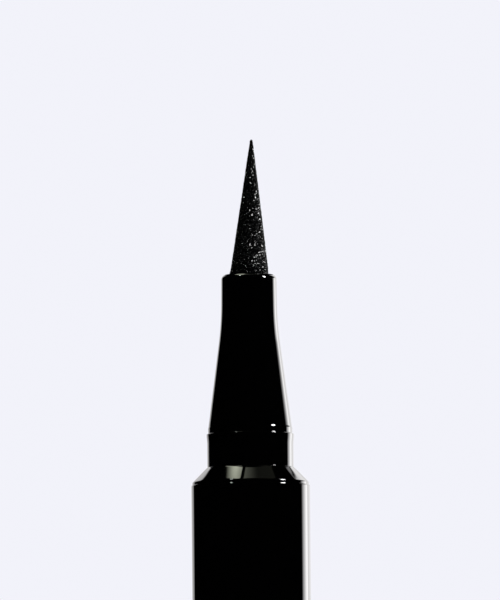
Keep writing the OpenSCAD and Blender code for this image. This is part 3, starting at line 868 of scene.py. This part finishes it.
# Inner cap: a soft cup, moulded in white plastic, that slides in the cap. Its lip closes on the front
# section's cone when the cap is on, so that the nib stays wet.
dress(
    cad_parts["inner_cap"],
    finish_of(
        "inner_cap_white",
        inked,
        {"Plastic": (0.8, 0.8, 0.79, 1), "Stain": 0.35},
        bump=0.6e-6,
        IOR=1.49,
    ),
)

# Cap spring: stainless wire wound into an open coil with a closed turn on both ends. It pushes the inner
# cap up, and closes as the cap is pushed home.
SPRING_CURLS = 5
END_TURNS = 0.9
SPRING_ROOM = 0.05
PEG_H = 1.2
WIRE_POINTS = 260
WIRE_SIDES = 14
CLOSED_PITCH = 2.05

spring_len = cup_foot_z + PEG_H - END_WALL - SPRING_ROOM
coil_inputs = {
    "Coil Radius": (SPRING_D - WIRE_D) / 2 * MM,
    "Wire Radius": WIRE_D / 2 * MM,
    "Curls": float(SPRING_CURLS),
    "End Turns": END_TURNS,
    "Foot": (END_WALL + WIRE_D / 2) * MM,
    "Height": (spring_len - WIRE_D) * MM,
}
coil, given = new_form("wound_coil", coil_inputs, "Wire")
line = node_in(coil, "GeometryNodeCurvePrimitiveLine")
fine = node_in(coil, "GeometryNodeResampleCurve", {"Curve": line.outputs[0], "Count": WIRE_POINTS})
way = node_in(coil, "GeometryNodeSplineParameter").outputs["Factor"]
turns = calc(coil, "MULTIPLY_ADD", given["End Turns"], 2.0, given["Curls"])
turned_by = calc(coil, "MULTIPLY", way, turns)
angle = calc(coil, "MULTIPLY", turned_by, math.tau)
end_rise = calc(coil, "MULTIPLY", given["Wire Radius"], CLOSED_PITCH)
low_rise = calc(coil, "MULTIPLY", calc(coil, "MINIMUM", turned_by, given["End Turns"]), end_rise)
past_low = calc(coil, "SUBTRACT", turned_by, given["End Turns"])
high_start = calc(coil, "ADD", given["End Turns"], given["Curls"])
past_high = calc(coil, "MAXIMUM", calc(coil, "SUBTRACT", turned_by, high_start), 0.0)
high_rise = calc(coil, "MULTIPLY", past_high, end_rise)
open_share = node_in(
    coil,
    "ShaderNodeMapRange",
    {"Value": calc(coil, "DIVIDE", past_low, given["Curls"]), "From Min": 0.0, "From Max": 1.0},
).outputs[0]
ends = calc(coil, "MULTIPLY", calc(coil, "MULTIPLY", given["End Turns"], end_rise), 2.0)
open_rise = calc(coil, "MULTIPLY", open_share, calc(coil, "SUBTRACT", given["Height"], ends))
risen = calc(coil, "ADD", calc(coil, "ADD", low_rise, high_rise), calc(coil, "ADD", open_rise, given["Foot"]))
spot = node_in(
    coil,
    "ShaderNodeCombineXYZ",
    {
        "X": calc(coil, "MULTIPLY", given["Coil Radius"], calc(coil, "COSINE", angle)),
        "Y": calc(coil, "MULTIPLY", given["Coil Radius"], calc(coil, "SINE", angle)),
        "Z": risen,
    },
)
bent = node_in(coil, "GeometryNodeSetPosition", {"Geometry": fine.outputs[0], "Position": spot.outputs[0]})
wire_ring = {"Resolution": WIRE_SIDES, "Radius": given["Wire Radius"]}
ring = node_in(coil, "GeometryNodeCurvePrimitiveCircle", wire_ring)
tube = {"Curve": bent.outputs[0], "Profile Curve": ring.outputs[0], "Fill Caps": True}
wire = node_in(coil, "GeometryNodeCurveToMesh", tube)
close_form(coil, wire.outputs[0], given["Wire"])

spring = bpy.data.objects.new("cap_spring_coil", bpy.data.meshes.new("cap_spring_coil"))
bpy.context.scene.collection.objects.link(spring)
wire_steel = finish_of(
    "spring_steel",
    steel,
    {"Film": 0.2, "Marks Scale": 9000.0, "Base Roughness": 0.2},
    bump=0.6e-6,
    Metallic=1.0,
)
grown(spring, coil, {**coil_inputs, "Wire": wire_steel})
spring.data.shade_smooth()
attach(spring, "cap")
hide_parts("cap_spring")
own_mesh(spring)

# World. The camera sees the pale lavender of the paper behind the pen on all sides. Gloss sees that
# paper only behind the pen, two panels overhead, and a dark room elsewhere. Azimuths are in degrees from
# straight behind the pen, heights are sines, and the panels are laid out on a plane one unit up.
PAPER = (0.888, 0.892, 0.956, 1)
PAPER_LIGHT = (1, 0.985, 0.99, 1)
PAPER_LEFT = (-35.5, -31.5)
PAPER_RIGHT = (63, 56)
PAPER_TOP = 0.16
PAPER_GLOW = 0.95
LEFT_SLANT = -30.0
SLANT_HEIGHT = 0.15
TOP_SLOPE = 0.0129
TOP_LEVEL_FROM = 35.0
TOP_EDGE = (0.006, -0.006)
CORNER_TOP = (0.22, 0.16)
CORNER_SIDE = (42, 36)
LEDGE_FOOT = (0.008, 0.012)
LEDGE_TOP = (0.03, 0.02)
LEDGE_LEFT = (15, 20)
LEDGE_GLOW = 0.3
RIGHT_EDGE = (2, 30)
RIGHT_GLOW = 1.4
STRIP_LEFT = (30, 41)
STRIP_RIGHT = (62, 43)
STRIP_TOP = (0.26, 0.12)
STRIP_GLOW = 3.5
UPPER_EDGE = (0.2, 0.5)
UPPER_GLOW = 0.9
PANEL_LIGHT = (0.96, 1, 0.80, 1)
PANEL_LOWEST = 0.05
PANEL_FRONT = (-0.04, 0.0)
PANEL_BACK = (0.5, 0.44)
PANEL_LEFT = -0.311
PANEL_LEFT_SPLAY = -0.405
PANEL_LEFT_EDGE = (-0.02, 0.0)
PANEL_LEFT_FADE = (-0.03, 0.11)
PANEL_RIGHT_EDGE = (0.44, 0.41)
GAP_MIDDLE = -0.16
GAP_SPLAY = 0.41
GAP_LEFT_EDGE = (-0.034, -0.044)
GAP_RIGHT_EDGE = (0.024, 0.034)
BRIGHT_GLOW = 2.6
BRIGHT_SLOPE = -20.0
DIM_GLOW = 0.1
DIM_FADE = (0.15, -0.2)
DIM_RISE = 1.15

world = bpy.data.worlds.new("studio")
bpy.context.scene.world = world
world.use_nodes = True
tree = world.node_tree
tree.nodes.clear()


def band(value, start, end):
    """A mask between two soft edges of the studio, each with where it starts and where it ends."""
    return product(tree, window(tree, value, *start), window(tree, value, *end))


looking = node_in(tree, "ShaderNodeTexCoord").outputs["Generated"]
direction = node_in(tree, "ShaderNodeSeparateXYZ", {"Vector": looking}).outputs
azimuth = calc(tree, "DEGREES", calc(tree, "ARCTAN2", direction["X"], direction["Y"]))
height = direction["Z"]
slant = calc(tree, "MULTIPLY_ADD", calc(tree, "MINIMUM", height, SLANT_HEIGHT), LEFT_SLANT, azimuth)
aside = calc(tree, "MINIMUM", calc(tree, "ABSOLUTE", azimuth), TOP_LEVEL_FROM)
over_top = calc(tree, "SUBTRACT", height, calc(tree, "MULTIPLY_ADD", aside, TOP_SLOPE, PAPER_TOP))
corner = calc(tree, "MAXIMUM", window(tree, height, *CORNER_TOP), window(tree, azimuth, *CORNER_SIDE))
top_edge = product(tree, window(tree, over_top, *TOP_EDGE), corner)
ledge = product(tree, band(over_top, LEDGE_FOOT, LEDGE_TOP), band(azimuth, LEDGE_LEFT, CORNER_SIDE))
top_edge = calc(tree, "MULTIPLY_ADD", ledge, LEDGE_GLOW, top_edge)
sides_edge = product(tree, window(tree, slant, *PAPER_LEFT), window(tree, azimuth, *PAPER_RIGHT))
paper_mask = product(tree, sides_edge, top_edge)
glow = calc(tree, "MULTIPLY_ADD", window(tree, azimuth, *RIGHT_EDGE), RIGHT_GLOW, PAPER_GLOW)
strip = product(tree, band(azimuth, STRIP_RIGHT, STRIP_LEFT), window(tree, height, *STRIP_TOP))
glow = calc(tree, "MULTIPLY_ADD", strip, STRIP_GLOW, glow)
glow = calc(tree, "MULTIPLY_ADD", window(tree, height, *UPPER_EDGE), UPPER_GLOW, glow)
rise = calc(tree, "MAXIMUM", height, PANEL_LOWEST)
across = calc(tree, "DIVIDE", direction["X"], rise)
behind = calc(tree, "DIVIDE", direction["Y"], rise)
overhead = band(behind, PANEL_FRONT, PANEL_BACK)
left_side = calc(tree, "MULTIPLY_ADD", behind, PANEL_LEFT_SPLAY, PANEL_LEFT)
gap_middle = calc(tree, "MULTIPLY_ADD", behind, GAP_SPLAY, GAP_MIDDLE)
past_left = calc(tree, "SUBTRACT", across, left_side)
past_gap = calc(tree, "SUBTRACT", across, gap_middle)
bright = product(
    tree,
    band(past_left, PANEL_LEFT_EDGE, PANEL_LEFT_FADE),
    window(tree, past_gap, *GAP_LEFT_EDGE),
    calc(tree, "MULTIPLY_ADD", past_gap, BRIGHT_SLOPE, BRIGHT_GLOW),
)
dim = product(
    tree,
    window(tree, past_gap, *GAP_RIGHT_EDGE),
    window(tree, across, *PANEL_RIGHT_EDGE),
    calc(tree, "MULTIPLY_ADD", window(tree, across, *DIM_FADE), DIM_RISE, DIM_GLOW),
)
panels = product(tree, calc(tree, "ADD", bright, dim), overhead)
seen = node_in(tree, "ShaderNodeLightPath").outputs["Is Camera Ray"]
flat = node_in(tree, "ShaderNodeBackground", {"Color": PAPER, "Strength": 1.0})
paper_strength = product(tree, paper_mask, glow)
paper_light = node_in(tree, "ShaderNodeBackground", {"Color": PAPER_LIGHT, "Strength": paper_strength})
panel_light = node_in(tree, "ShaderNodeBackground", {"Color": PANEL_LIGHT, "Strength": panels})
lit = node_in(tree, "ShaderNodeAddShader", {0: paper_light.outputs[0], 1: panel_light.outputs[0]})
choice = node_in(tree, "ShaderNodeMixShader", {0: seen, 1: lit.outputs[0], 2: flat.outputs[0]})
node_in(tree, "ShaderNodeOutputWorld", {"Surface": choice.outputs[0]})

# Lamps. Each is a soft box on a circle round the cap seat, with its azimuth counted from the camera
# towards the right of the picture. The fill boxes light without showing in the gloss.
LAMP_DISTANCE = 1.0
AIM_RISE = 3
WHITE = (1.0, 1.0, 1.0)
GREENISH = (0.9, 1.0, 0.93)

lamp_aim = Vector((0, 0, (land_z + AIM_RISE) * MM))


def soft_box(name, azimuth, lift, wide, tall, radiance, colour, gloss=True, matte=True):
    """An area lamp of that size in degrees as seen from the pen, and of that radiance."""
    light = bpy.data.lights.new(name, "AREA")
    light.shape = "RECTANGLE"
    light.size = 2 * LAMP_DISTANCE * math.tan(math.radians(wide / 2))
    light.size_y = 2 * LAMP_DISTANCE * math.tan(math.radians(tall / 2))
    light.energy = math.pi * radiance * light.size * light.size_y
    light.color = colour
    side = math.radians(azimuth)
    up = math.radians(lift)
    out = Vector((math.sin(side) * math.cos(up), -math.cos(side) * math.cos(up), math.sin(up)))
    lamp = bpy.data.objects.new(name, light)
    bpy.context.scene.collection.objects.link(lamp)
    facing_pen = out.to_track_quat("Z", "Y").to_matrix().to_4x4()
    lamp.matrix_world = Matrix.Translation(lamp_aim + out * LAMP_DISTANCE) @ facing_pen
    lamp.visible_camera = False
    lamp.visible_glossy = gloss
    lamp.visible_diffuse = matte


soft_box("glint", azimuth=74, lift=31, wide=7, tall=16, radiance=120, colour=WHITE, matte=False)
soft_box("glint_left", azimuth=-55, lift=56, wide=3, tall=5, radiance=80, colour=GREENISH, matte=False)
soft_box("key", azimuth=60, lift=40, wide=40, tall=40, radiance=4.0, colour=WHITE, gloss=False)
soft_box("fill", azimuth=-50, lift=30, wide=60, tall=50, radiance=1.0, colour=WHITE, gloss=False)

# Floor: a plain pale sheet under the cap's closed end. For gloss its colour holds painted light and shade:
# pale close to the pen, painted half light in the sector behind it, and painted dark in the rest of the room.
FLOOR_R = 6
FLOOR_SIDES = 64
PAINTED_LIT_REACH = (0.05, 0.3)
REAR_LEFT = (-36, -31)
REAR_RIGHT = (62, 55)
PAINTED_REAR_LIGHT = 0.6
DARK = (0, 0, 0, 1)

floor_rim = []
for i in range(FLOOR_SIDES):
    angle = math.tau * i / FLOOR_SIDES
    floor_rim.append((FLOOR_R * math.cos(angle), FLOOR_R * math.sin(angle), 0))
floor_mesh = bpy.data.meshes.new("floor")
floor_mesh.from_pydata(floor_rim, [], [tuple(range(FLOOR_SIDES))])
floor = bpy.data.objects.new("floor", floor_mesh)
bpy.context.scene.collection.objects.link(floor)
floor_paper, tree, shader = new_material("floor_paper")
place = place_in(tree)
reach = node_in(tree, "ShaderNodeVectorMath", {0: place}, operation="LENGTH").outputs["Value"]
spot = node_in(tree, "ShaderNodeSeparateXYZ", {0: place}).outputs
bearing = calc(tree, "DEGREES", calc(tree, "ARCTAN2", spot["X"], spot["Y"]))
rear = product(tree, window(tree, bearing, *REAR_LEFT), window(tree, bearing, *REAR_RIGHT))
mirrored = node_in(tree, "ShaderNodeLightPath").outputs["Is Glossy Ray"]
# Painted shade: for gloss rays the floor's colour turns black past a short reach from the pen, and painted
# light keeps it paler in the sector behind it.
painted_shade = product(
    tree,
    mirrored,
    window(tree, reach, *PAINTED_LIT_REACH),
    calc(tree, "MULTIPLY_ADD", rear, -PAINTED_REAR_LIGHT, 1.0),
)
tree.links.new(blend_of(tree, painted_shade, PAPER, DARK), shader.inputs["Base Color"])
shader.inputs["Roughness"].default_value = 0.9
shader.inputs["Specular IOR Level"].default_value = 0
floor.data.materials.append(floor_paper)

bpy.context.scene.view_settings.view_transform = "Standard"
